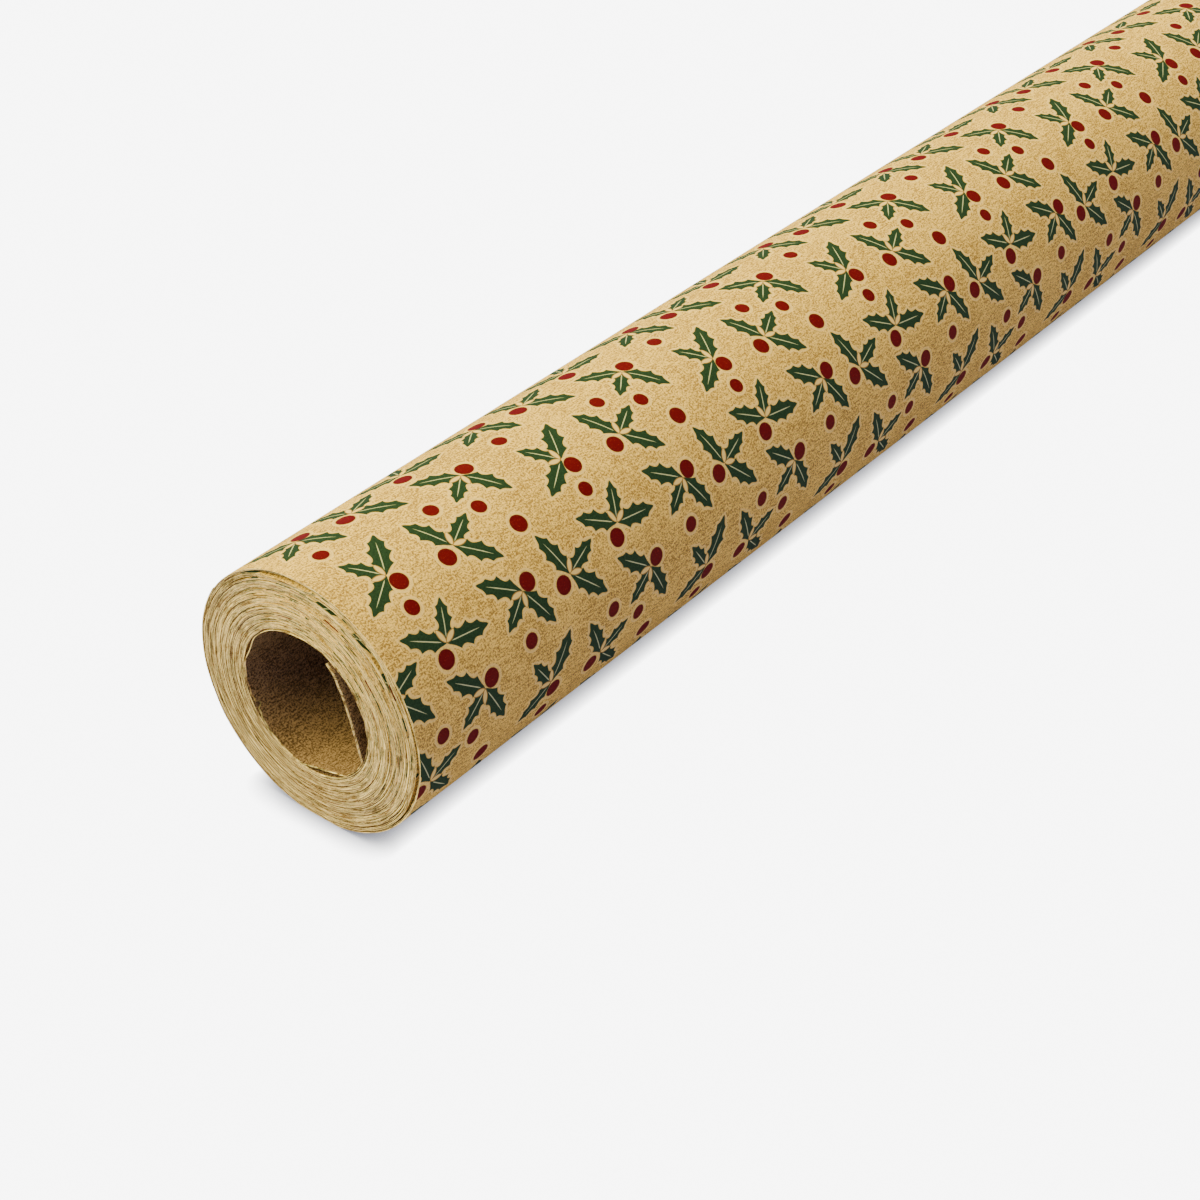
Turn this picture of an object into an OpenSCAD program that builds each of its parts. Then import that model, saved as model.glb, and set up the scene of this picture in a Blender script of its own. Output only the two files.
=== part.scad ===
// Roll of printed kraft wrapping paper, lying on its side.
// The roll runs along X and +Z is up. The origin is on the surface that the roll rests on, under
// the middle of the roll. The free end of the sheet is at the back, on the +Y side.
// One sheet is wound on itself with no core, so each node is a stretch of that sheet. Angles
// are in degrees round the roll's axis, from +Y towards +Z.

/* [Roll] */
// Width of the sheet, which is the length of the roll
sheet_w = 700; // [300:10:1000]
// Outside diameter of the roll
roll_d = 48; // [40:0.5:60]
// Diameter of the space inside the tight turns
bore_d = 27.2; // [18:0.2:33]
// How far the underside is flattened where the roll rests
sag = 0.43; // [0.2:0.01:0.8]

/* [Turns] */
// Thickness of the outer turns that hold the roll together
outer_wall = 0.3; // [0.2:0.05:0.8]
// Thickness of the slack turns under them
slack_wall = 0.9; // [0.4:0.1:1.5]
// Thickness of the loose innermost turn
inner_wall = 0.3; // [0.2:0.05:0.6]
// Gap between turns that slide past each other
turn_gap = 0.05; // [0.03:0.01:0.1]
// How far back the turns settle inside each slack layer
settle_back = 0.4; // [0:0.05:0.6]
// How far down the turns settle inside each slack layer
settle_down = 0.35; // [0:0.05:0.4]
// How far the bundles have slipped past each other at the ends
end_slip = 0.3; // [0:0.05:1]

/* [Free end] */
// Angle of the line where the free end lifts off the roll
lift_angle = -45; // [-50:1:-40]
// Angle of the line where the lifted sheet curls
curl_angle = -5; // [-10:1:5]
// Angle of the cut edge of the sheet
edge_angle = 35; // [25:1:45]
// Gap between the cut edge and the turn that it lies against
edge_gap = 0.5; // [0.2:0.1:1]

/* [Leading edge] */
// Thickness of the folded leading edge
flap_wall = 0.25; // [0.15:0.05:0.4]
// Distance from the hollow's axis to its flat floor, as a share of the hollow's radius
floor_share = 0.925; // [0.75:0.005:0.96]
// Tilt of that floor, negative where it rises towards the front
floor_tilt = -14; // [-25:1:-5]
// Clearance between the floor and the root of the folded flap
fold_clear = 0.3; // [0.25:0.05:0.6]
// Angle over which the flap lies against the wall, from its root
hug_angle = 26; // [5:1:35]
// Angle where the tip of the flap meets the wall again
tip_angle = 118; // [112:1:130]
// How far the free stretch of the flap bows towards the wall
flap_bow = 0.6; // [0.2:0.1:1.5]

/* [Hidden] */
$fn = 120;
bundle_count = 6;
// Share of the slip that each bundle has, from the innermost bundle out
slip_share = [0.4, -0.5, 0.2, -1, 0.6, 1];
slack_slip_share = -0.3;
bundle_names = [for (i = [1:bundle_count]) str("wound_turns_", i)];

// Centres of the outer turns, the slack turns and the tight turns, in the plane across the roll
settle = [settle_back, -settle_down];
outer_centre = [0, roll_d / 2 - sag];
slack_centre = outer_centre + settle;
tight_centre = slack_centre + settle;

// Outside radius and lowest height of each layer
slack_r = roll_d / 2 - outer_wall - norm(settle) - turn_gap;
tight_r = slack_r - slack_wall - norm(settle) - turn_gap;
slack_base = outer_wall + turn_gap;
tight_base = slack_base + slack_wall + turn_gap;
bundle_pitch = (tight_r - bore_d / 2) / bundle_count;
bundle_wall = bundle_pitch - turn_gap;
inner_base = tight_base + bundle_count * bundle_pitch;
hollow_r = bore_d / 2 - inner_wall;

function direction(angle) = [cos(angle), sin(angle)];
function heading(v) = atan2(v[1], v[0]);
function arc_angle(length, radius) = length / radius * 180 / PI;

// Angles of the corner where the floor meets the wall, of the flap's root beside it, and of
// the place where the flap leaves the wall
corner_angle = 270 + floor_tilt - acos(floor_share);
flap_r = hollow_r - turn_gap;
root_angle = corner_angle - arc_angle(fold_clear, flap_r);
leave_angle = root_angle - hug_angle;

// Angles of the gaps at the lift line, the curl line and the cut edge
line_gap_angle = arc_angle(turn_gap, roll_d / 2);
edge_gap_angle = arc_angle(edge_gap, roll_d / 2);

// Extrudes an outline drawn across the roll over the whole width of the sheet
module along_roll(slip = 0) {
    translate([slip - sheet_w / 2, 0, 0])
        rotate([90, 0, 90])
            linear_extrude(sheet_w)
                children();
}

// Everything between two angles round a centre
module sector(centre, from, to, reach = roll_d) {
    polygon(concat(
        [centre],
        [for (angle = [from, (from + to) / 2, to]) centre + reach * direction(angle)]
    ));
}

// A circle flattened at the height of its base
module flattened_disc(radius, centre, base) {
    intersection() {
        translate(centre) circle(r = radius);
        translate([centre[0] - roll_d, base]) square(2 * roll_d);
    }
}

// Turns of one thickness round a centre, flattened underneath
module turns(radius, wall, centre, base) {
    difference() {
        flattened_disc(radius, centre, base);
        flattened_disc(radius - wall, centre, base + wall);
    }
}

module outer_layer() {
    turns(roll_d / 2, outer_wall, outer_centre, 0);
}

// The end of the outermost turn between two lines along the roll
module end_strip(from, to) {
    intersection() {
        outer_layer();
        sector(outer_centre, from, to);
    }
}

module outer_turns() {
    color("burlywood")
        along_roll()
            difference() {
                outer_layer();
                sector(outer_centre, lift_angle, edge_angle + edge_gap_angle);
            }
}

module lifting_strip() {
    color("tan")
        along_roll()
            end_strip(lift_angle + line_gap_angle, curl_angle);
}

module free_edge() {
    color("wheat")
        along_roll()
            end_strip(curl_angle + line_gap_angle, edge_angle);
}

module slack_turns() {
    color("navajowhite")
        along_roll(end_slip * slack_slip_share)
            turns(slack_r, slack_wall, slack_centre, slack_base);
}

module wound_turns(i) {
    color(i % 2 == 0 ? "moccasin" : "khaki")
        along_roll(end_slip * slip_share[i - 1])
            turns(
                bore_d / 2 + i * bundle_pitch,
                bundle_wall,
                tight_centre,
                tight_base + (bundle_count - i) * bundle_pitch
            );
}

module inner_turn() {
    color("peru")
        along_roll()
            difference() {
                flattened_disc(bore_d / 2, tight_centre, inner_base);
                intersection() {
                    flattened_disc(hollow_r, tight_centre, inner_base + inner_wall);
                    translate(tight_centre)
                        rotate(floor_tilt)
                            translate([-bore_d, -floor_share * hollow_r])
                                square(2 * bore_d);
                }
            }
}

// The leading edge lies along the wall from its fold, then crosses the hollow to its tip
module leading_edge() {
    leave = tight_centre + flap_r * direction(leave_angle);
    tip = tight_centre + flap_r * direction(tip_angle);
    half_chord = norm(tip - leave) / 2;
    bow_r = (half_chord * half_chord + flap_bow * flap_bow) / (2 * flap_bow);
    bow_angle = heading(tip - leave) + 90;
    bow_half_angle = asin(half_chord / bow_r);
    bow_centre = (leave + tip) / 2 - (bow_r - flap_bow) * direction(bow_angle);
    color("sienna")
        along_roll() {
            intersection() {
                difference() {
                    translate(tight_centre) circle(r = flap_r);
                    translate(tight_centre) circle(r = flap_r - flap_wall);
                }
                sector(tight_centre, leave_angle, root_angle);
            }
            intersection() {
                difference() {
                    translate(bow_centre) circle(r = bow_r);
                    translate(bow_centre) circle(r = bow_r - flap_wall);
                }
                sector(bow_centre, bow_angle - bow_half_angle, bow_angle + bow_half_angle, 2 * bow_r);
            }
        }
}

leading_edge();
inner_turn();
for (i = [1:bundle_count])
    wound_turns(i);
slack_turns();
outer_turns();
lifting_strip();
free_edge();
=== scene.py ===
"""Roll of kraft gift wrap printed with holly, wound without a core and lying on its side.

One sheet makes the whole roll. Each stretch of it is laid flat as a grid at its real size, with
its place on the sheet in its UV map, then wound round the roll's axis and given its thickness.
Angles go round the axis from +Y towards +Z, and a turn grows outwards as its angle grows.
"""

import math

import bpy
import numpy as np
from bpy.props import (
    FloatProperty,
    FloatVectorProperty,
    IntProperty,
    PointerProperty,
)
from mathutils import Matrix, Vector


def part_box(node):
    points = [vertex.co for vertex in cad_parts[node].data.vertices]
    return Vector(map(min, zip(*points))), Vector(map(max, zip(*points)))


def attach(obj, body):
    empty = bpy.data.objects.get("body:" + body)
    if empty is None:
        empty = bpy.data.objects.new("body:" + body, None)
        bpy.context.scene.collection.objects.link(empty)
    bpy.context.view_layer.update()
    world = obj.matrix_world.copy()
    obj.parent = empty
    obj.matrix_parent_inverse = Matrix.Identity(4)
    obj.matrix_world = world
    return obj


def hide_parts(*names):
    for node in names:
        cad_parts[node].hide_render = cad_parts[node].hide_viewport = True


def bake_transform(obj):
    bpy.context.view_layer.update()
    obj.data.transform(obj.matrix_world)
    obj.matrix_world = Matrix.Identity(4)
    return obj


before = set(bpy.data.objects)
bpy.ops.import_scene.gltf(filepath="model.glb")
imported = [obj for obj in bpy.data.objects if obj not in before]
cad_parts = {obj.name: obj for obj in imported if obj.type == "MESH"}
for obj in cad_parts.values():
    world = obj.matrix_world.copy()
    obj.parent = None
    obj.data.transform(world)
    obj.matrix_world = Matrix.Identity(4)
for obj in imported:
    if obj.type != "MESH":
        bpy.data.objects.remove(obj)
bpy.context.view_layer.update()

bl_info = {
    "name": "Wrapping paper roll",
    "version": (1, 0, 0),
    "blender": (4, 5, 0),
    "location": "View3D > Sidebar > Paper roll",
    "description": "Winds a coreless roll of printed kraft gift wrap, turn by turn",
    "category": "Object",
}

MM = 0.001
SHEET_UV = "sheet"  # place on the flat sheet, in metres
BAKE_UV = "OFBake"  # a place of its own for each face
CUT_EDGE = 2  # slot of the cut edge's material
BUNDLES = [f"wound_turns_{i}" for i in range(1, 7)]
OUTER_NODES = ("outer_turns", "lifting_strip", "free_edge")


# ---------------------------------------------------------------- sizes of the roll, in mm


class Ring:
    """The circle that a layer's outside follows, flattened at its base."""

    def __init__(self, *nodes):
        boxes = [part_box(node) for node in nodes]
        low_y = min(low.y for low, _ in boxes) / MM
        high_y = max(high.y for _, high in boxes) / MM
        self.radius = (high_y - low_y) / 2
        self.base = min(low.z for low, _ in boxes) / MM
        self.centre = np.array(
            [(low_y + high_y) / 2, max(high.z for _, high in boxes) / MM - self.radius]
        )
        self.near = min(low.x for low, _ in boxes) / MM
        self.far = max(high.x for _, high in boxes) / MM


OUTER = Ring(*OUTER_NODES)
SLACK = Ring("slack_turns")
TIGHT = [Ring(node) for node in BUNDLES]
INNER = Ring("inner_turn")
AXIS = INNER.centre
OUTER_WALL = 0.3
INNER_WALL = 0.3
TURN_GAP = 0.05
FLOOR_DEPTH = 12.3
FLOOR_TILT = -14
HOLLOW_R = INNER.radius - INNER_WALL
FLAP_R = HOLLOW_R - TURN_GAP
CORNER_ANGLE = 270 + FLOOR_TILT - math.degrees(math.acos(FLOOR_DEPTH / HOLLOW_R))
FAR_CORNER_ANGLE = 2 * (270 + FLOOR_TILT) - CORNER_ANGLE
LEAVE_ANGLE = 206
TIP_ANGLE = 118
FLAP_BOW = 0.6
LIFT_ANGLE = -45
SEAM_ANGLE = -12
EDGE_ANGLE = 35
WRAP_SLACK_ANGLE = 140  # middle of the stretch where the outer wrap stands off
PRINT_START_ANGLE = 50  # where the print's repeat starts on the outer wrap
PRINT_STEP = 37.0  # how much further down the sheet each bundle's print starts
FOLD_AT = 35.0  # length of sheet from the print's start to the fold

# Own numbers of the random draws, bundles having 1 to 6
SLACK_DRAW = 7
WRAP_DRAW = 9
INNER_DRAW = 31
FLAP_DRAW = 41


def random_draws(number):
    return np.random.default_rng(bpy.context.scene.paper_roll_sizes.seed * 100 + number)


def direction(degrees):
    angle = np.radians(degrees)
    return np.stack([np.cos(angle), np.sin(angle)], axis=-1)


def reach(degrees, radius, base, centre):
    """Distance from the tight turns' axis to a flattened circle, at each angle."""
    heading = direction(degrees)
    offset = AXIS - centre
    along = heading @ offset
    distance = -along + np.sqrt(along**2 - offset @ offset + radius**2)
    down = np.minimum(heading[..., 1], -1e-6)
    return np.where(heading[..., 1] < 0, np.minimum(distance, (AXIS[1] - base) / -down), distance)


def ease(x, low, high):
    t = np.clip((np.asarray(x, float) - low) / (high - low), 0, 1)
    return t * t * (3 - 2 * t)


def hump(degrees, middle, half_width):
    """1 at the middle angle, falling smoothly to 0 at half_width either side."""
    away = np.abs((np.asarray(degrees, float) - middle + 180) % 360 - 180)
    return 1 - ease(away, 0, half_width)


def wander(rng, samples, knots):
    """A smooth random line that closes on itself, with this many knots."""
    values = rng.normal(0, 1, knots)
    place = np.arange(samples) * knots / samples
    left = place.astype(int) % knots
    share = ease(place - np.floor(place), 0, 1)
    return values[left] * (1 - share) + values[(left + 1) % knots] * share


def stack_turns(inner, outer, turns, thickness, looseness, rng):
    """Radii of a spiral's outside between two boundaries, with the air shared unevenly.

    inner and outer hold a radius for each angle of one turn. Every turn clears the one
    beneath it, and the last point touches the outer boundary.
    """
    samples = len(inner)
    knots = 14 * (turns - 1)
    weight = np.exp(np.tile(looseness, turns - 1) * wander(rng, samples * (turns - 1), knots))
    weight = weight.reshape(turns - 1, samples)
    total = weight.sum(0)
    clear = 0.002
    room = outer - inner - (turns + 1) * thickness - 2 * clear
    first_share = weight[0, 0] / total[0]
    first_gap = room[0] * first_share / (1 + first_share)
    gaps = (room - first_gap) * weight / total
    rise = np.arange(samples) / samples * (thickness + first_gap)
    start = inner + thickness + clear + rise
    radii = [start]
    for gap in gaps:
        radii.append(radii[-1] + thickness + gap)
    return np.append(np.concatenate(radii), outer[0] - clear)


# ---------------------------------------------------------------- laying and winding a sheet


def deselect_all():
    if bpy.context.object and bpy.context.object.mode != "OBJECT":
        bpy.ops.object.mode_set(mode="OBJECT")
    bpy.ops.object.select_all(action="DESELECT")


def shares_of(values, low, high):
    return (values - low) / max(high - low, 1e-9)


def whole_turns(place):
    """How many times a sheet goes round the axis, to the nearest turn and at least one."""
    across_y, across_z = (place[:, 0, 1:] - AXIS).T
    angle = np.unwrap(np.arctan2(across_z, across_y))
    return max(1, round(abs(angle[-1] - angle[0]) / (2 * math.pi)))


def lay_bake_map(mesh, row, column, flat, turns, halves):
    """Gives every face a place of its own on a second map, for a picture of its look.

    The printed side lies in one or two rows, the plain side above it, and each turn's cut
    edges in strips along the top, where they are far wider than they would be in proportion.
    """
    strip, margin = 6 / 1024, 2 / 1024
    printed_share = 0.92 if halves == 2 else 0.6
    vertex = np.empty(len(mesh.loops), int)
    mesh.loops.foreach_get("vertex_index", vertex)
    side, grid = vertex // len(row), vertex % len(row)
    r, c = row[grid], column[grid]
    last_row, last_column = flat.shape[0] - 1, flat.shape[1] - 1
    across_share = shares_of(flat[r, c, 0], flat[..., 0].min(), flat[..., 0].max())
    along_share = shares_of(flat[r, c, 1], flat[..., 1].min(), flat[..., 1].max())
    start = np.empty(len(mesh.polygons), int)
    mesh.polygons.foreach_get("loop_start", start)
    count = np.diff(np.append(start, len(vertex)))

    def whole_face(function, values):
        return np.repeat(function.reduceat(values, start), count)

    r_low, r_high = whole_face(np.minimum, r), whole_face(np.maximum, r)
    c_low, c_high = whole_face(np.minimum, c), whole_face(np.maximum, c)
    is_rim = whole_face(np.minimum, side) != whole_face(np.maximum, side)
    strips = 2 * turns + 2
    room = 1 - strips * strip
    half = ((c_high <= last_column // 2) & (halves == 2)).astype(int)
    row_height = room * printed_share / halves
    printed_u = across_share * halves - half
    printed_v = row_height * half + margin + (row_height - 2 * margin) * along_share
    plain_low = room * printed_share
    plain_v = plain_low + margin + (room - plain_low - 2 * margin) * along_share
    u = np.where(side == 0, printed_u, across_share)
    v = np.where(side == 0, printed_v, plain_v)
    turn_place = r / last_row * turns
    turn = np.minimum(np.floor(r_low / last_row * turns + 1e-6), turns - 1)
    on_ends = (c_low == c_high) & is_rim
    far_rim = (c_high == 0).astype(int)
    tip_rim = (r_high == r_low).astype(int) * (r_low == last_row)
    rim_strip = np.where(on_ends, turn + turns * far_rim, 2 * turns + tip_rim)
    rim_u = np.where(on_ends, turn_place - turn, across_share)
    u = np.where(is_rim, rim_u, u)
    v = np.where(is_rim, room + strip * (rim_strip + 0.2 + 0.6 * side), v)
    layer = mesh.uv_layers.new(name=BAKE_UV)
    places = np.stack([margin + (1 - 2 * margin) * u, v], axis=1)
    layer.data.foreach_set("uv", places.ravel())
    mesh.uv_layers.active = mesh.uv_layers[SHEET_UV]


def make_sheet(name, place, flat, thickness, materials, frayed=False, printed_halves=1):
    """A sheet of paper whose outside passes through place.

    place[i, j] is a point in mm, i along the sheet's length and j across its width from the
    far end of the roll to the near end. flat[i, j] is the same point on the flat sheet.
    """
    rows, columns = place.shape[:2]
    deselect_all()
    bpy.ops.mesh.primitive_grid_add(
        x_subdivisions=columns - 1, y_subdivisions=rows - 1, size=1, location=(0, 0, 0)
    )
    sheet = bpy.context.object
    sheet.name = name
    mesh = sheet.data
    mesh.name = name
    laid = np.empty(len(mesh.vertices) * 3)
    mesh.vertices.foreach_get("co", laid)
    laid = laid.reshape(-1, 3)
    column = np.rint((laid[:, 0] + 0.5) * (columns - 1)).astype(int)
    row = np.rint((laid[:, 1] + 0.5) * (rows - 1)).astype(int)
    mesh.vertices.foreach_set("co", (place[row, column] * MM).ravel())
    corner = np.empty(len(mesh.loops), int)
    mesh.loops.foreach_get("vertex_index", corner)
    layer = mesh.uv_layers[0]
    layer.name = SHEET_UV
    layer.data.foreach_set("uv", (flat[row[corner], column[corner]] * MM).ravel())
    for material in materials:
        mesh.materials.append(material)
    if frayed:
        for face in mesh.polygons:
            strip = min(column[index] for index in face.vertices)
            if strip in (0, columns - 2):
                face.material_index = CUT_EDGE
    mesh.update()
    wall = sheet.modifiers.new("Paper", "SOLIDIFY")
    wall.thickness = thickness * MM
    wall.offset = -1
    wall.material_offset = 1
    wall.material_offset_rim = CUT_EDGE
    bpy.ops.object.modifier_apply(modifier=wall.name)
    bpy.ops.object.shade_smooth_by_angle(angle=math.radians(35))
    lay_bake_map(mesh, row, column, flat, whole_turns(place), printed_halves)
    return sheet


def ends(rng, angles, first, last, ragged):
    """Where the sheet's two cut edges lie along the roll at each angle.

    first and last hold the near and far edges at the stretch's two ends.
    """
    turns = max(2, int(round((angles[-1] - angles[0]) / 360)))
    share = ease(np.linspace(0, 1, len(angles)), 0, 1)
    lines = []
    for start, end in zip(first, last):
        slow = wander(rng, len(angles), 2 * turns)
        quick = wander(rng, len(angles), 36 * turns)
        lines.append(start + (end - start) * share + ragged * (0.05 * slow + 0.03 * quick))
    return lines


def across(near, far, insets):
    """Columns from the far edge to the near edge, with some close to each."""
    insets = np.asarray(insets, float)
    return np.stack(
        [far - inset for inset in insets] + [near + inset for inset in insets[::-1]], axis=1
    )


def wound(centre, angles, radii, columns):
    heading = direction(angles)
    radii = np.broadcast_to(radii if np.ndim(radii) == 2 else radii[:, None], columns.shape)
    return np.stack(
        [
            columns,
            centre[0] + radii * heading[:, :1],
            centre[1] + radii * heading[:, 1:],
        ],
        axis=-1,
    )


def path_lengths(path, start=0.0):
    """Length of a path up to each of its points."""
    return start + np.append(0, np.cumsum(np.linalg.norm(np.diff(path, axis=0), axis=1)))


def flat_places(columns, lengths, near):
    return np.stack([columns - near, np.broadcast_to(lengths[:, None], columns.shape)], axis=-1)


# ---------------------------------------------------------------- shader building


class Signal:
    """A number in a node tree. Python's operators on it add Math nodes."""

    def __init__(self, tree, socket):
        self.tree = tree
        self.socket = socket

    def calculate(self, operation, *terms):
        settings = {"operation": operation}
        node = add_node(self.tree, "ShaderNodeMath", settings, dict(enumerate(terms)))
        return Signal(self.tree, node.outputs[0])

    def __add__(self, other):
        return self.calculate("ADD", self, other)

    def __radd__(self, other):
        return self.calculate("ADD", other, self)

    def __sub__(self, other):
        return self.calculate("SUBTRACT", self, other)

    def __rsub__(self, other):
        return self.calculate("SUBTRACT", other, self)

    def __mul__(self, other):
        return self.calculate("MULTIPLY", self, other)

    def __rmul__(self, other):
        return self.calculate("MULTIPLY", other, self)

    def __truediv__(self, other):
        return self.calculate("DIVIDE", self, other)

    def __rtruediv__(self, other):
        return self.calculate("DIVIDE", other, self)

    def __pow__(self, other):
        return self.calculate("POWER", self, other)

    def __neg__(self):
        return self.calculate("MULTIPLY", self, -1.0)

    def __abs__(self):
        return self.calculate("ABSOLUTE", self)

    def at_least(self, other):
        return self.calculate("MAXIMUM", self, other)

    def at_most(self, other):
        return self.calculate("MINIMUM", self, other)

    def clamped(self):
        return self.at_least(0.0).at_most(1.0)

    def fraction(self):
        return self.calculate("FRACT", self)

    def wrapped(self):
        """The same number less the nearest whole one."""
        return self.calculate("WRAP", self, 0.5, -0.5)

    def cosine(self):
        return self.calculate("COSINE", self)

    def sine(self):
        return self.calculate("SINE", self)

    def step(self, low, high):
        """Rises smoothly from 0 at low to 1 at high."""
        settings = {"interpolation_type": "SMOOTHSTEP"}
        values = {"Value": self, "From Min": low, "From Max": high}
        node = add_node(self.tree, "ShaderNodeMapRange", settings, values)
        return Signal(self.tree, node.outputs[0])


def set_sockets(tree, node, values):
    """Links or sets a node's sockets, by name or number."""
    for key, value in values.items():
        if isinstance(value, Signal):
            value = value.socket
        if isinstance(value, bpy.types.NodeSocket):
            tree.links.new(value, node.inputs[key])
        else:
            node.inputs[key].default_value = value


def add_node(tree, kind, settings=None, values=None):
    """Adds a node, and sets what it is before its sockets."""
    node = tree.nodes.new(kind)
    for key, value in (settings or {}).items():
        setattr(node, key, value)
    set_sockets(tree, node, values or {})
    return node


def new_group(name, inputs, outputs):
    """An empty node group with number sockets, and its inputs as signals."""
    tree = bpy.data.node_groups.new(name, "ShaderNodeTree")
    for label in inputs:
        tree.interface.new_socket(label, in_out="INPUT", socket_type="NodeSocketFloat")
    for label in outputs:
        tree.interface.new_socket(label, in_out="OUTPUT", socket_type="NodeSocketFloat")
    entry = tree.nodes.new("NodeGroupInput")
    return tree, [Signal(tree, entry.outputs[label]) for label in inputs]


def close_group(tree, results):
    exit_node = tree.nodes.new("NodeGroupOutput")
    for label, signal in results.items():
        tree.links.new(signal.socket, exit_node.inputs[label])


def use_group(tree, group, values):
    node = add_node(tree, "ShaderNodeGroup", {"node_tree": group}, values)
    return {socket.name: Signal(tree, socket) for socket in node.outputs}


def rgba(colour):
    return (*colour, 1.0)


def blend_colour(tree, share, first, second):
    """A mix of two colours, each a socket or three numbers."""
    first, second = (
        colour if isinstance(colour, bpy.types.NodeSocket) else rgba(colour)
        for colour in (first, second)
    )
    values = {0: share, 6: first, 7: second}
    return add_node(tree, "ShaderNodeMix", {"data_type": "RGBA"}, values).outputs[2]


def keep_larger(known, found):
    return found if known is None else known.at_least(found)


# ---------------------------------------------------------------- the holly print

# The print repeats along the roll, and again half-dropped down the sheet, in mm
REPEAT = 42.4
DROP_ACROSS = 20.7
DROP_DOWN = 32.8
BERRY_R = 1.65

# Sprigs: place in mm, angle and length of each leaf, then the berry's angle and distance
SPRIGS = [
    (10.9, 25.2, (148, 8.6), (235, 7.6), (304, 9.4), 64, 2.2),
    (24.3, 27.2, (248, 8.8), (333, 7.6), (405, 8.8), 155, 2.7),
    (37.6, 16.9, (216, 8.8), (144, 7.4), (63, 8.8), -27, 2.1),
    (12.0, 39.4, (211, 8.6), (298, 7.4), (368, 9.0), 124, 2.6),
    (29.9, 39.7, (214, 9.0), (144, 7.4), (61, 8.8), -26, 2.0),
    (40.4, 41.9, (254, 8.8), (339, 7.8), (405, 9.4), 156, 2.4),
]

# Loose berries: place and radius in mm
LOOSE_BERRIES = [
    (7.2, 14.8, 1.4),
    (27.2, 19.7, 1.4),
    (33.9, 24.1, 1.4),
    (37.1, 30.3, 1.65),
    (10.3, 31.8, 1.4),
]


def cell_place(x, v):
    down = v / DROP_DOWN
    return (x - DROP_ACROSS * down) / REPEAT, down


def turned(x, y, angle):
    """Coordinates along and across a line at this angle."""
    cosine, sine = angle.cosine(), angle.sine()
    return x * cosine + y * sine, abs(y * cosine - x * sine)


def past_ends(along):
    return (-along).at_least(along - 1.0).at_least(0.0)


def leaf_group():
    """A spiny leaf. Inside is how far a point lies inside its outline, in mm."""
    spines, first_spine, lean = 3.7, 0.3, 0.42
    half_width, valley = 0.225, 0.64
    tree, (x, y, angle, length) = new_group(
        "Holly leaf", ["X", "Y", "Angle", "Length"], ["Inside", "Vein"]
    )
    along, aside = turned(x, y, angle)
    along, aside = along / length, aside / length
    fullness = along.at_least(0.0) ** 0.8 * (1.0 - along).at_least(0.0) ** 0.9 / 0.297
    scallop = ((along - aside * lean) * spines + first_spine).fraction() * 2.0 - 1.0
    edge = fullness * half_width * (scallop * scallop * (1 - valley) + valley)
    inside = (edge - aside - past_ends(along)) * length
    taper = along.step(0.1, 0.2) * (1.0 - along.step(0.55, 0.84))
    vein = (taper * 0.085 + 0.01 - aside * length).step(-0.03, 0.03) * taper.step(0.02, 0.2)
    close_group(tree, {"Inside": inside, "Vein": vein})
    return tree


def stipule_group():
    """The small pale bract between two leaves."""
    tree, (x, y, angle) = new_group("Stipule", ["X", "Y", "Angle"], ["Inside"])
    along, aside = turned(x, y, angle)
    along = (along - 0.15) / 2.5
    fullness = (along * (1.0 - along) * 4.0).at_least(0.0) ** 0.8
    close_group(tree, {"Inside": fullness * 0.42 - aside - past_ends(along) * 2.5})
    return tree


def offset_in_cell(across_cell, down_cell, place_across, place_down):
    """Distance in mm from the nearest copy of a place in the repeat."""
    across_away = (across_cell - place_across).wrapped()
    down_away = (down_cell - place_down).wrapped()
    return across_away * REPEAT + down_away * DROP_ACROSS, down_away * DROP_DOWN


def inside_berry(x, y, radius):
    return radius - (x * x + y * y) ** 0.5


def sprig_group(leaf, stipule):
    """Three leaves, the two bracts between them and a berry, at one place in the repeat."""
    labels = ["Across", "Down", "Place across", "Place down"]
    labels += ["Angle 1", "Length 1", "Angle 2", "Length 2", "Angle 3", "Length 3"]
    labels += ["Berry X", "Berry Y"]
    tree, signals = new_group("Holly sprig", labels, ["Leaf", "Vein", "Stipule", "Berry"])
    x, y = offset_in_cell(*signals[:4])
    angles, lengths = signals[4:10:2], signals[5:10:2]
    green = vein = None
    for angle, length in zip(angles, lengths):
        drawn = use_group(tree, leaf, {"X": x, "Y": y, "Angle": angle, "Length": length})
        green = keep_larger(green, drawn["Inside"])
        vein = keep_larger(vein, drawn["Vein"])
    bract = None
    for first, second in zip(angles, angles[1:]):
        drawn = use_group(tree, stipule, {"X": x, "Y": y, "Angle": (first + second) * 0.5})
        bract = keep_larger(bract, drawn["Inside"])
    berry = inside_berry(x - signals[10], y - signals[11], BERRY_R)
    close_group(tree, {"Leaf": green, "Vein": vein, "Stipule": bract, "Berry": berry})
    return tree


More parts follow.
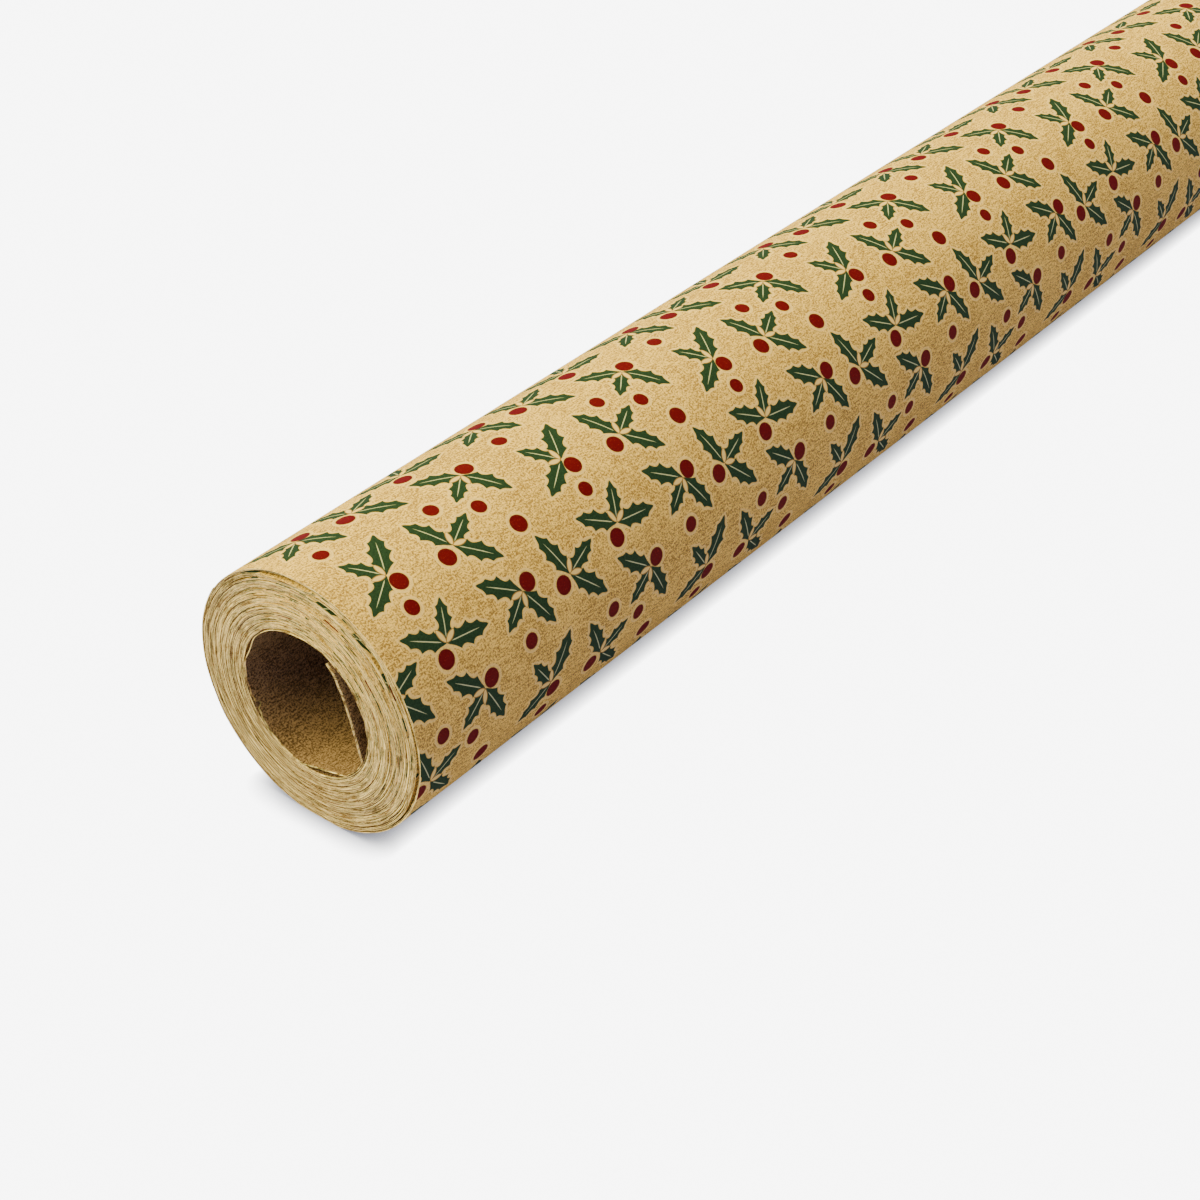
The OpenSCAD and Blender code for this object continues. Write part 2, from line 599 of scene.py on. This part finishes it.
def holly_group():
    """How far a point of the sheet lies inside each colour of the print, in mm."""
    sprig = sprig_group(leaf_group(), stipule_group())
    labels = ["Leaf", "Vein", "Stipule", "Berry"]
    tree, (x, v) = new_group("Holly print", ["X", "V"], labels)
    down_cell = v / DROP_DOWN
    across_cell = (x - down_cell * DROP_ACROSS) / REPEAT
    nearest = {}
    for place_x, place_v, *leaves, berry_angle, berry_away in SPRIGS:
        place_across, place_down = cell_place(place_x, place_v)
        heading = math.radians(berry_angle)
        values = {
            "Across": across_cell,
            "Down": down_cell,
            "Place across": place_across,
            "Place down": place_down,
            "Berry X": berry_away * math.cos(heading),
            "Berry Y": berry_away * math.sin(heading),
        }
        for number, (angle, length) in enumerate(leaves, 1):
            values[f"Angle {number}"] = math.radians(angle)
            values[f"Length {number}"] = length
        drawn = use_group(tree, sprig, values)
        for label in labels:
            nearest[label] = keep_larger(nearest.get(label), drawn[label])
    for place_x, place_v, radius in LOOSE_BERRIES:
        place_across, place_down = cell_place(place_x, place_v)
        away = offset_in_cell(across_cell, down_cell, place_across, place_down)
        nearest["Berry"] = nearest["Berry"].at_least(inside_berry(*away, radius))
    close_group(tree, nearest)
    return tree


# ---------------------------------------------------------------- paper materials


def sheet_place(tree):
    """The point of the flat sheet that shows here, in mm, as two signals."""
    sheet = add_node(tree, "ShaderNodeUVMap", {"uv_map": SHEET_UV})
    split = add_node(tree, "ShaderNodeSeparateXYZ", None, {0: sheet.outputs[0]})
    return Signal(tree, split.outputs[0]) / MM, Signal(tree, split.outputs[1]) / MM


def point_at(tree, x, y, layer):
    """A point of the flat sheet as a vector, in a layer of its own."""
    return add_node(tree, "ShaderNodeCombineXYZ", None, {0: x, 1: y, 2: layer}).outputs[0]


def noise(tree, x, y, scale, detail, layer, roughness=0.5):
    """Noise over the flat sheet, scale to the mm."""
    values = {"Vector": point_at(tree, x, y, layer), "Scale": scale}
    values |= {"Detail": detail, "Roughness": roughness}
    return Signal(tree, add_node(tree, "ShaderNodeTexNoise", None, values).outputs[0])


def kraft(tree, x, y, light, dark, layer):
    """Colour, grain, height and mottling of unprinted kraft paper."""
    grain = noise(tree, x, y, 2.9, 2.0, layer, 0.8)
    fibre = noise(tree, x * 0.6, y * 1.8, 1.5, 3.0, layer + 3.0, 0.7)
    mottle = noise(tree, x, y, 0.11, 4.0, layer + 7.0, 0.6)
    tone = (grain - 0.5) * 5.4 + (fibre - 0.5) * 2.8 + (mottle - 0.5) * 0.8 + 0.5
    colour = blend_colour(tree, tone.clamped(), dark, light)
    # Dark specks, one in the middle of some cells
    settings = {"voronoi_dimensions": "3D", "feature": "F1"}
    values = {"Vector": point_at(tree, x, y, layer), "Scale": 0.42}
    cell = add_node(tree, "ShaderNodeTexVoronoi", settings, values)
    pick = add_node(tree, "ShaderNodeSeparateXYZ", None, {0: cell.outputs["Color"]})
    chosen = Signal(tree, pick.outputs[0]).step(0.72, 0.8)
    size = Signal(tree, pick.outputs[1]) * 0.06 + 0.03
    speck = (size - Signal(tree, cell.outputs["Distance"])).step(-0.02, 0.02) * chosen
    darker = tuple(0.42 * channel for channel in dark)
    colour = blend_colour(tree, speck * 0.62, colour, darker)
    height = grain * 0.55 + fibre * 0.45
    return colour, grain, height, mottle


def finish_paper(tree, colour, roughness, height, depth):
    values = {"Height": height, "Strength": 0.55, "Distance": depth * MM}
    bump = add_node(tree, "ShaderNodeBump", None, values)
    values = {
        "Base Color": colour,
        "Roughness": roughness,
        "Normal": bump.outputs[0],
        "Specular IOR Level": 0.08,
    }
    set_sockets(tree, tree.nodes["Principled BSDF"], values)


def new_material(name):
    material = bpy.data.materials.new(name)
    material.use_nodes = True
    return material, material.node_tree


def printed_material(holly, colours):
    material, tree = new_material("printed_kraft")
    x, v = sheet_place(tree)
    colour, grain, height, mottle = kraft(tree, x, v, colours.kraft_light, colours.kraft_dark, 0.0)
    bleed = (grain - 0.5) * 0.22
    drawn = use_group(tree, holly, {"X": x, "V": v})
    leaf, berry = drawn["Leaf"] + bleed, drawn["Berry"] + bleed * 0.6
    bract = drawn["Stipule"]
    ink = leaf.at_least(berry)
    rim = ink.at_least(bract)
    halo = rim.step(-0.65, -0.59) * (1.0 - (rim - bleed).step(-0.5, 0.0) * 0.5)
    colour = blend_colour(tree, halo * 0.9, colour, colours.halo)
    tint = (grain - 0.5) * 2.2 + 0.5
    green = blend_colour(tree, tint.clamped(), colours.leaf_dark, colours.leaf_light)
    colour = blend_colour(tree, leaf.step(-0.07, 0.07), colour, green)
    colour = blend_colour(tree, drawn["Vein"] * 0.95, colour, colours.vein)
    colour = blend_colour(tree, bract.step(-0.2, -0.12), colour, colours.kraft_dark)
    colour = blend_colour(tree, bract.step(-0.05, 0.06), colour, colours.bract)
    red = blend_colour(tree, berry.step(0.0, 0.7), colours.berry_dark, colours.berry_light)
    # Lighter red specks scattered by the grain: painted highlight glints on the berries.
    glint_specks = (grain - 0.5).step(0.08, 0.2) * 0.35
    red = blend_colour(tree, glint_specks, red, colours.berry_glint)
    colour = blend_colour(tree, berry.step(-0.07, 0.07), colour, red)
    inked = ink.step(-0.05, 0.05)
    roughness = 0.8 - inked * 0.16 + (mottle - 0.5) * 0.12
    finish_paper(tree, colour, roughness, height, 0.05)
    return material


def shaded_plain_material(colours):
    material, tree = new_material("plain_kraft_painted_shade")
    x, v = sheet_place(tree)
    # The plain side's kraft is far darker than the printed side's. This is painted shade for the
    # hollow, where this side mostly shows.
    colour, grain, height, mottle = kraft(
        tree, x, v, colours.shaded_inside_light, colours.shaded_inside_dark, 20.0
    )
    finish_paper(tree, colour, 0.84 + (mottle - 0.5) * 0.1, height, 0.05)
    return material


def place_on_end(tree):
    """Distance from the axis in mm and angle round it in radians."""
    coordinates = add_node(tree, "ShaderNodeTexCoord")
    split = add_node(tree, "ShaderNodeSeparateXYZ", None, {0: coordinates.outputs["Object"]})
    y = Signal(tree, split.outputs[1]) / MM - float(AXIS[0])
    z = Signal(tree, split.outputs[2]) / MM - float(AXIS[1])
    return (y * y + z * z) ** 0.5, z.calculate("ARCTAN2", z, y)


def edge_material(holly, colours):
    """The cut edge: pale fibres, with a trace of ink wherever the print reaches the edge."""
    material, tree = new_material("cut_edge")
    x, v = sheet_place(tree)
    out, round_axis = place_on_end(tree)
    fine = noise(tree, v, x, 1.3, 3.0, 40.0, 0.6)
    streak = noise(tree, out * 4.2, round_axis * 4.0, 1.0, 3.0, 43.0, 0.75)
    band = noise(tree, out * 0.8, round_axis * 0.8, 1.0, 2.0, 47.0)
    tone = (fine - 0.5) * 2.0 + (streak - 0.5) * 5.6 + (band - 0.5) * 1.2 + 0.62
    colour = blend_colour(tree, tone.clamped(), colours.edge_dark, colours.edge_light)
    drawn = use_group(tree, holly, {"X": x, "V": v})
    for label, ink in (("Leaf", colours.leaf_light), ("Berry", colours.berry_light)):
        colour = blend_colour(tree, drawn[label].step(-0.1, 0.3) * 0.42, colour, ink)
    finish_paper(tree, colour, 0.86 + (fine - 0.5) * 0.08, fine, 0.03)
    return material


def paper_materials():
    """Outside, inside and cut edge, made once and shared by every stretch of the sheet."""
    names = ("printed_kraft", "plain_kraft_painted_shade", "cut_edge")
    if names[0] not in bpy.data.materials:
        colours = bpy.context.scene.paper_roll_colours
        holly = holly_group()
        printed_material(holly, colours)
        shaded_plain_material(colours)
        edge_material(holly, colours)
    return [bpy.data.materials[name] for name in names]


# ---------------------------------------------------------------- settings


def length_property(label, description, default):
    return FloatProperty(name=label, description=description, default=default, min=0.0)


def colour_property(label, description, default):
    return FloatVectorProperty(
        name=label,
        description=description,
        default=default,
        subtype="COLOR",
        size=3,
        min=0.0,
        max=1.0,
    )


class PaperRollSizes(bpy.types.PropertyGroup):
    """How the sheet is wound."""

    thickness: length_property("Paper thickness", "Thickness of the paper, in mm", 0.085)
    tight_turns: IntProperty(
        name="Turns in a bundle",
        description="Turns of paper in each of the six tight bundles",
        default=12,
        min=2,
        max=13,
    )
    slack_turns: IntProperty(
        name="Slack turns",
        description="Turns of paper in the slack layer under the outer wrap",
        default=9,
        min=2,
        max=10,
    )
    steps: IntProperty(
        name="Steps in a turn",
        description="Straight steps that make one turn of the sheet",
        default=120,
        min=36,
    )
    ragged: length_property("Raggedness", "How unevenly the turns end, 1 for a usual roll", 1.0)
    seed: IntProperty(
        name="Seed", description="Changes how the turns lie on each other", default=11
    )


class PaperRollColours(bpy.types.PropertyGroup):
    """Colours of the paper and its inks."""

    kraft_light: colour_property("Kraft, light", "Light fibres", (0.93, 0.59, 0.135))
    kraft_dark: colour_property("Kraft, dark", "Dark fibres", (0.28, 0.155, 0.038))
    # The inside colours are the same kraft darkened: painted shade for the hollow, not a darker
    # paper.
    shaded_inside_light: colour_property("Inside, light", "Light fibres inside", (0.275, 0.168, 0.088))
    shaded_inside_dark: colour_property("Inside, dark", "Dark fibres inside", (0.055, 0.029, 0.011))
    halo: colour_property("Halo", "Unprinted rim round the ink", (0.80, 0.53, 0.175))
    leaf_light: colour_property("Leaf, light", "Green ink where thin", (0.023, 0.054, 0.023))
    leaf_dark: colour_property("Leaf, dark", "Green ink where thick", (0.007, 0.021, 0.008))
    vein: colour_property("Vein", "Line down each leaf", (0.46, 0.47, 0.27))
    bract: colour_property("Bract", "Pale bracts between leaves", (0.78, 0.52, 0.17))
    berry_light: colour_property("Berry, light", "Middle of a berry", (0.108, 0.0012, 0.0022))
    berry_dark: colour_property("Berry, dark", "Rim of a berry", (0.085, 0.001, 0.0016))
    # Lighter red specks on the berries: painted highlight glints, not bare paper.
    berry_glint: colour_property("Berry speck", "Bare specks in a berry", (0.42, 0.04, 0.02))
    edge_light: colour_property("Edge, light", "Cut edge of the paper", (1.0, 0.75, 0.345))
    edge_dark: colour_property("Edge, dark", "Cut edge, where soiled", (0.20, 0.12, 0.043))


class PaperRollStage(bpy.types.PropertyGroup):
    """Floor, lights and camera."""

    floor: colour_property("Floor", "Colour that the floor reflects", (0.42, 0.42, 0.70))
    glow: length_property("Floor glow", "How bright the floor looks", 7.7)
    key: length_property("Key light", "Strength of the soft light from above", 9.0)
    key_colour: colour_property("Key colour", "Colour of the soft light", (1.0, 0.95, 0.39))
    fill: length_property("Fill light", "Strength of the light from all round", 0.58)
    fill_colour: colour_property("Fill colour", "Colour from all round", (0.70, 0.68, 1.0))
    lens: length_property("Lens", "Focal length of the camera, in mm", 69.74)


# ---------------------------------------------------------------- the paper, piece by piece

# Distances of a sheet's columns from its two cut edges
TURN_INSETS = (0.0, 2.5, 9.0, 40.0)
WRAP_INSETS = (0.0, 1.5, 4.0, 8.0)
INNER_INSETS = (0.0, 0.22, 1.2, 4.0, 30.0, 150.0)
FLAP_INSETS = (0.0, 0.28, 0.6, 1.2, 2.5, 6.0, 30.0, 150.0)

# How far a turn's radius at each of TURN_INSETS is that of its own end of the roll
END_SHARES = np.array([1.0, 0.75, 0.3, 0.0])


def turn_angles(samples):
    return LIFT_ANGLE + np.arange(samples) * 360 / samples


def wrap_room(degrees):
    """Distance from the tight turns' axis to the inside of the outer wrap."""
    inside = OUTER.radius - OUTER_WALL
    distance = reach(degrees, inside, OUTER.base + OUTER_WALL, OUTER.centre)
    return distance - 0.02 - 0.13 * hump(degrees, WRAP_SLACK_ANGLE, 95)


def bundle_reach(number, degrees):
    """Outside of a tight bundle. The outer ones loosen a little where the roll is slack."""
    ring = INNER if number == 0 else TIGHT[number - 1]
    distance = reach(degrees, ring.radius, ring.base, ring.centre)
    room = wrap_room(degrees) - TIGHT[-1].radius
    return distance + 0.35 * (number / len(TIGHT)) ** 2 * (room - room.min())


def looseness_at(degrees, outward):
    """How unevenly the air between turns is shared, 0 for evenly. Slits open at two places."""
    return 0.9 + 1.1 * outward * (hump(degrees, 115, 60) + 0.7 * hump(degrees, 205, 30))


def edges_between(ring, neighbour):
    """The sheet's two edges half way between two rings' slips."""
    return (ring.near + neighbour.near) / 2, (ring.far + neighbour.far) / 2


def wind_stretch(name, body, inner, outer, turns, edges, number, outward):
    """Winds a stretch of many turns between two boundaries, as a piece of one body."""
    sizes = bpy.context.scene.paper_roll_sizes
    rng = random_draws(number)
    one_turn = turn_angles(sizes.steps)
    looseness = looseness_at(one_turn, outward)
    near_radii, far_radii = (
        stack_turns(inner, outer, turns, sizes.thickness, looseness, rng) for _ in range(2)
    )
    calm = np.zeros_like(looseness)
    even_radii = stack_turns(inner, outer, turns, sizes.thickness, calm, rng)
    angles = LIFT_ANGLE + np.arange(turns * sizes.steps + 1) * 360 / sizes.steps
    near, far = ends(rng, angles, *edges, sizes.ragged)
    columns = across(near, far, TURN_INSETS)
    radii = np.concatenate(
        [
            end_radii[:, None] * shares + even_radii[:, None] * (1 - shares)
            for end_radii, shares in ((far_radii, END_SHARES), (near_radii, END_SHARES[::-1]))
        ],
        axis=1,
    )
    place = wound(AXIS, angles, radii, columns)
    lengths = path_lengths(place[:, place.shape[1] // 2, 1:], PRINT_STEP * number)
    flat = flat_places(columns, lengths, OUTER.near)
    sheet = make_sheet(name, place, flat, sizes.thickness, paper_materials())
    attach(sheet, body)
    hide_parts(body)


class PAPER_ROLL_OT_tight_turns(bpy.types.Operator):
    """Wind the six tight bundles that make most of the roll"""

    bl_idname = "paper_roll.tight_turns"
    bl_label = "Tight turns"

    def execute(self, context):
        sizes = context.scene.paper_roll_sizes
        one_turn = turn_angles(sizes.steps)
        rings = [INNER, *TIGHT, SLACK]
        for number, body in enumerate(BUNDLES, 1):
            ring = rings[number]
            wind_stretch(
                f"tight_turns_{number}",
                body,
                bundle_reach(number - 1, one_turn) + TURN_GAP,
                bundle_reach(number, one_turn),
                sizes.tight_turns,
                [edges_between(ring, other) for other in (rings[number - 1], rings[number + 1])],
                number,
                number / len(BUNDLES),
            )
        return {"FINISHED"}


class PAPER_ROLL_OT_slack_turns(bpy.types.Operator):
    """Wind the slack turns between the tight bundles and the outer wrap"""

    bl_idname = "paper_roll.slack_turns"
    bl_label = "Slack turns"

    def execute(self, context):
        sizes = context.scene.paper_roll_sizes
        one_turn = turn_angles(sizes.steps)
        wind_stretch(
            "slack_turns_sheet",
            "slack_turns",
            bundle_reach(len(BUNDLES), one_turn) + TURN_GAP,
            wrap_room(one_turn),
            sizes.slack_turns,
            [edges_between(SLACK, TIGHT[-1]), (OUTER.near + 0.04, OUTER.far - 0.04)],
            SLACK_DRAW,
            1.3,
        )
        return {"FINISHED"}


def cockle(angles, columns):
    """How far the outer wrap dips inwards in mm, where it stands off the slack turns."""
    x = columns / 100
    theta = np.radians(angles)[:, None]
    waves = (
        np.sin(2.1 * x + 3.0 * theta + 0.6)
        + 0.7 * np.sin(4.7 * x - 5.0 * theta + 2.2)
        + 0.5 * np.sin(9.3 * x + 8.0 * theta + 4.1)
    )
    return 0.10 * hump(angles, WRAP_SLACK_ANGLE, 90)[:, None] * (0.5 + 0.22 * waves)


def wrap_stretch(name, first_angle, last_angle, rows):
    """A stretch of the outer wrap between two angles. The sheet ends at EDGE_ANGLE."""
    sizes = bpy.context.scene.paper_roll_sizes
    angles = np.linspace(first_angle, last_angle, rows)
    radii = OUTER.radius - (EDGE_ANGLE - angles) / 360 * OUTER_WALL / 3
    whole = np.linspace(LIFT_ANGLE - 720, EDGE_ANGLE, 800)
    edges = (OUTER.near, OUTER.far)
    lines = ends(random_draws(WRAP_DRAW), whole, edges, edges, sizes.ragged)
    near, far = (np.interp(angles, whole, line) for line in lines)
    insets = list(WRAP_INSETS) + list(np.linspace(20, 350, 28))
    columns = np.delete(across(near, far, insets), len(insets), axis=1)
    depth = radii[:, None] - cockle(angles, columns)
    heading = direction(angles)
    lowest = OUTER.centre[1] - (OUTER.base + OUTER.radius - radii)
    down = np.minimum(heading[:, 1], -1e-6)
    limit = np.where(heading[:, 1] < 0, lowest / -down, np.inf)
    depth = np.minimum(depth, limit[:, None])
    place = wound(OUTER.centre, angles, depth, columns)
    lengths = np.radians(angles + 360 - PRINT_START_ANGLE) * OUTER.radius
    flat = flat_places(columns, lengths, OUTER.near)
    return make_sheet(name, place, flat, sizes.thickness, paper_materials(), printed_halves=2)


class PAPER_ROLL_OT_outer_wrap(bpy.types.Operator):
    """Wind the two outer turns that hold the roll together"""

    bl_idname = "paper_roll.outer_wrap"
    bl_label = "Outer wrap"

    def execute(self, context):
        for name, first, last in (
            ("under_wrap", LIFT_ANGLE - 720, LIFT_ANGLE - 360),
            ("outer_wrap", LIFT_ANGLE - 360, LIFT_ANGLE),
        ):
            sheet = wrap_stretch(name, first, last, 181)
            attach(sheet, "outer_turns")
            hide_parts("outer_turns")
        return {"FINISHED"}


class PAPER_ROLL_OT_free_end(bpy.types.Operator):
    """Lay the last of the sheet down on the roll, up to its cut edge at the back"""

    bl_idname = "paper_roll.free_end"
    bl_label = "Free end"

    def execute(self, context):
        strip = wrap_stretch("free_end_root", LIFT_ANGLE, SEAM_ANGLE, 25)
        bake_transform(strip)
        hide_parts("lifting_strip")
        edge = wrap_stretch("free_end_edge", SEAM_ANGLE, EDGE_ANGLE, 33)
        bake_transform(edge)
        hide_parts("free_edge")
        return {"FINISHED"}


def hollow_floor(samples):
    """The flat floor of the hollow, from the fold's corner to the far one."""
    thickness = bpy.context.scene.paper_roll_sizes.thickness
    depth = FLOOR_DEPTH + thickness
    tilt = 270 + FLOOR_TILT
    half = math.radians((FAR_CORNER_ANGLE - CORNER_ANGLE) / 2)
    sideways = direction(tilt + 90)
    spread = np.linspace(-math.tan(half), math.tan(half), samples)[:, None] * depth
    return AXIS + depth * direction(tilt) + spread * sideways


def lay_inner_sheet(name, path, lengths, near, far, insets, materials):
    """A single ply along a path round the hollow, with its cut edges a little frayed."""
    sizes = bpy.context.scene.paper_roll_sizes
    columns = across(near, far, insets)
    place = np.empty(columns.shape + (3,))
    place[..., 0] = columns
    place[..., 1:] = path[:, None, :] if path.ndim == 2 else path
    flat = flat_places(columns, lengths, OUTER.near)
    return make_sheet(name, place, flat, sizes.thickness, materials, frayed=True)


class PAPER_ROLL_OT_inner_turn(bpy.types.Operator):
    """Wind the loose innermost turn, from the fold over the flat floor and round the wall"""

    bl_idname = "paper_roll.inner_turn"
    bl_label = "Inner turn"

    def execute(self, context):
        sizes = context.scene.paper_roll_sizes
        rng = random_draws(INNER_DRAW)
        floor = hollow_floor(17)
        last_angle = LIFT_ANGLE + 720
        angles = np.linspace(FAR_CORNER_ANGLE, last_angle, 200)[1:]
        start_r = HOLLOW_R + sizes.thickness
        radii = np.interp(angles, [angles[0], last_angle], [start_r, INNER.radius - 0.01])
        first_turn = 1 - ease(angles, 500, 600)  # 1 in the turn that shows
        # How far it stands off the hollow's wall, in three places
        stand_off = 0.42 * hump(angles, 24, 17) + 0.16 * hump(angles, 335, 25)
        stand_off += 0.10 * hump(angles, 80, 30)
        wall = AXIS + (radii - stand_off * first_turn)[:, None] * direction(angles)
        path = np.concatenate([floor, wall])
        lengths = path_lengths(path, FOLD_AT)
        count = len(path)
        wobble = wander(rng, count, 60)
        # The near edge is nicked over a short stretch
        nick = np.zeros(count)
        nick[len(floor) :] = hump(angles, 338, 16) * first_turn
        teeth = np.abs(wander(rng, count, 75))
        near = INNER.near + 0.05 * wobble + 0.75 * nick * teeth
        far = INNER.far + 0.05 * wander(rng, count, 60)
        sheet = lay_inner_sheet(
            "inner_turn_sheet", path, lengths, near, far, INNER_INSETS, paper_materials()
        )
        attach(sheet, "inner_turn")
        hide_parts("inner_turn")
        return {"FINISHED"}


def flap_path():
    """The flap from its tip to the fold, and the way from its free stretch to the axis."""
    tip = AXIS + FLAP_R * direction(TIP_ANGLE)
    leave = AXIS + FLAP_R * direction(LEAVE_ANGLE)
    chord = leave - tip
    outward = np.array([chord[1], -chord[0]]) / np.linalg.norm(chord)
    if outward @ (tip - AXIS) < 0:
        outward = -outward
    share = np.linspace(0, 1, 41)[:, None]
    free = tip + share * chord + FLAP_BOW * 4 * share * (1 - share) * outward
    hug_angles = np.linspace(LEAVE_ANGLE, CORNER_ANGLE, 21)[1:]
    into_corner = ease(hug_angles, CORNER_ANGLE - 4, CORNER_ANGLE)
    corner_r = np.linalg.norm(hollow_floor(2)[0] - AXIS)
    hug_r = FLAP_R + (corner_r - FLAP_R) * into_corner
    hug = AXIS + hug_r[:, None] * direction(hug_angles)
    return np.concatenate([free, hug]), -outward


class PAPER_ROLL_OT_leading_flap(bpy.types.Operator):
    """Lay the loose leading edge of the sheet, from its tip down the wall to the fold"""

    bl_idname = "paper_roll.leading_flap"
    bl_label = "Leading flap"

    def execute(self, context):
        rng = random_draws(FLAP_DRAW)
        path, toward_axis = flap_path()
        lengths = path_lengths(path)
        lengths += FOLD_AT - lengths[-1]
        near_box, far_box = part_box("leading_edge")
        near = near_box.x / MM + 0.06 * wander(rng, len(path), 25)
        far = far_box.x / MM + 0.06 * wander(rng, len(path), 25)
        # The tip curls in at the near end, and both cut edges lift off the wall
        insets = np.array(FLAP_INSETS)
        rows = np.arange(len(path))
        curl = 0.8 * (1 - ease(insets, 0, 4.0))
        curl = (1 - ease(rows, 0, 5))[:, None] * np.concatenate([0 * curl, curl[::-1]])
        flare = 0.24 * (1 - ease(insets, 0, 0.5))
        flare = (1 - ease(rows, 36, 44))[:, None] * np.concatenate([flare, flare[::-1]])
        paths = path[:, None, :] - curl[..., None] * direction(TIP_ANGLE)
        paths = paths + flare[..., None] * toward_axis
        # Both faces of the flap take the darkened plain kraft in place of the print on its
        # outside: painted shade in the gap behind it.
        _, plain, cut = paper_materials()
        sheet = lay_inner_sheet(
            "leading_flap", paths, lengths, near, far, FLAP_INSETS, [plain, plain, cut]
        )
        corner = Vector((0, *(hollow_floor(2)[0] * MM)))
        beyond = Vector((0, *((AXIS + FLAP_R * direction(CORNER_ANGLE - 12)) * MM)))
        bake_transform(sheet)
        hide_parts("leading_edge")
        return {"FINISHED"}


# ---------------------------------------------------------------- the stage


WHITE = (1.0, 1.0, 1.0)
PAINTED_SHADOW_COLOUR = (0.035, 0.036, 0.045)
PAINTED_SHADOW_REACH = 4.8  # mm of floor beside the roll under the painted contact shadow
KEY_SOFTNESS = 66  # angle that the soft light fills, in degrees
TOWARDS_KEY = Vector((-0.42, 0.42, 0.80))
CAMERA_PLACE = Vector((-0.5468, -0.2156, 0.2525))
CAMERA_AIM = Vector((-0.274, 0.0015, 0.0))


def show_camera(tree, lighting, look, output):
    """Shows the camera one shader, and lights the scene with the other."""
    path = add_node(tree, "ShaderNodeLightPath")
    values = {0: path.outputs["Is Camera Ray"], 1: lighting.outputs[0], 2: look.outputs[0]}
    mix = add_node(tree, "ShaderNodeMixShader", None, values)
    tree.links.new(mix.outputs[0], tree.nodes[output].inputs["Surface"])


def floor_material(colour, glow):
    """A pale floor that glows evenly for the camera, with a painted contact shadow where something
    nearly touches it; light bouncing off it sees a plain diffuse floor.
    """
    material, tree = new_material("studio_floor")
    tree.nodes.remove(tree.nodes["Principled BSDF"])
    # Ambient occlusion darkens the glow near the roll: a painted contact shadow, not one cast by
    # the lights.
    values = {"Distance": PAINTED_SHADOW_REACH * MM}
    nearness = add_node(tree, "ShaderNodeAmbientOcclusion", {"samples": 16}, values)
    lit = Signal(tree, nearness.outputs["AO"]) ** 3.2
    tone = blend_colour(tree, lit, PAINTED_SHADOW_COLOUR, WHITE)
    look = add_node(tree, "ShaderNodeEmission", None, {"Color": tone, "Strength": glow})
    lighting = add_node(tree, "ShaderNodeBsdfDiffuse", None, {"Color": rgba(colour)})
    show_camera(tree, lighting, look, "Material Output")
    return material


def soft_room(stage):
    """Even light from all round, and a backdrop that looks as bright as the floor."""
    world = bpy.data.worlds.new("soft_room")
    world.use_nodes = True
    tree = world.node_tree
    light = tree.nodes["Background"]
    values = {"Color": rgba(stage.fill_colour), "Strength": stage.fill}
    set_sockets(tree, light, values)
    values = {"Color": rgba(WHITE), "Strength": stage.glow}
    backdrop = add_node(tree, "ShaderNodeBackground", None, values)
    show_camera(tree, light, backdrop, "World Output")
    return world


class PAPER_ROLL_OT_stage(bpy.types.Operator):
    """Set the floor, the soft light and the camera"""

    bl_idname = "paper_roll.stage"
    bl_label = "Stage"

    def execute(self, context):
        stage = context.scene.paper_roll_stage
        deselect_all()
        bpy.ops.mesh.primitive_plane_add(size=12, location=(0, 0, -0.0001))
        floor = context.object
        floor.name = "studio_floor"
        floor.data.materials.append(floor_material(stage.floor, stage.glow))

        deselect_all()
        bpy.ops.object.light_add(type="SUN", location=(-1, 1, 2))
        key = context.object
        key.name = "key_light"
        key.data.energy = stage.key
        key.data.color = stage.key_colour
        key.data.angle = math.radians(KEY_SOFTNESS)
        key.rotation_euler = TOWARDS_KEY.to_track_quat("Z", "Y").to_euler()

        context.scene.world = soft_room(stage)

        deselect_all()
        bpy.ops.object.camera_add(location=CAMERA_PLACE)
        camera = context.object
        camera.name = "camera"
        look = CAMERA_AIM - camera.location
        camera.rotation_euler = look.to_track_quat("-Z", "Y").to_euler()
        camera.data.lens = stage.lens
        camera.data.sensor_width = 36
        camera.data.clip_start = 0.01
        context.scene.camera = camera
        return {"FINISHED"}


# ---------------------------------------------------------------- panel and registration

OPERATORS = (
    PAPER_ROLL_OT_leading_flap,
    PAPER_ROLL_OT_inner_turn,
    PAPER_ROLL_OT_tight_turns,
    PAPER_ROLL_OT_slack_turns,
    PAPER_ROLL_OT_outer_wrap,
    PAPER_ROLL_OT_free_end,
    PAPER_ROLL_OT_stage,
)
SETTINGS = {
    "paper_roll_sizes": PaperRollSizes,
    "paper_roll_colours": PaperRollColours,
    "paper_roll_stage": PaperRollStage,
}


class PAPER_ROLL_PT_panel(bpy.types.Panel):
    """The roll's sizes and colours, and the steps that make it"""

    bl_idname = "PAPER_ROLL_PT_panel"
    bl_label = "Paper roll"
    bl_space_type = "VIEW_3D"
    bl_region_type = "UI"
    bl_category = "Paper roll"

    def draw(self, context):
        for name, group in SETTINGS.items():
            box = self.layout.box()
            for label in group.__annotations__:
                box.prop(getattr(context.scene, name), label)
        for operator in OPERATORS:
            self.layout.operator(operator.bl_idname)


def register():
    for item in (*SETTINGS.values(), *OPERATORS, PAPER_ROLL_PT_panel):
        bpy.utils.register_class(item)
    for name, group in SETTINGS.items():
        setattr(bpy.types.Scene, name, PointerProperty(type=group))


def unregister():
    for name in SETTINGS:
        delattr(bpy.types.Scene, name)
    for item in (PAPER_ROLL_PT_panel, *reversed(OPERATORS), *SETTINGS.values()):
        bpy.utils.unregister_class(item)


def main():
    register()
    for operator in OPERATORS:
        family, step = operator.bl_idname.split(".")
        getattr(getattr(bpy.ops, family), step)()


if __name__ == "__main__":
    main()
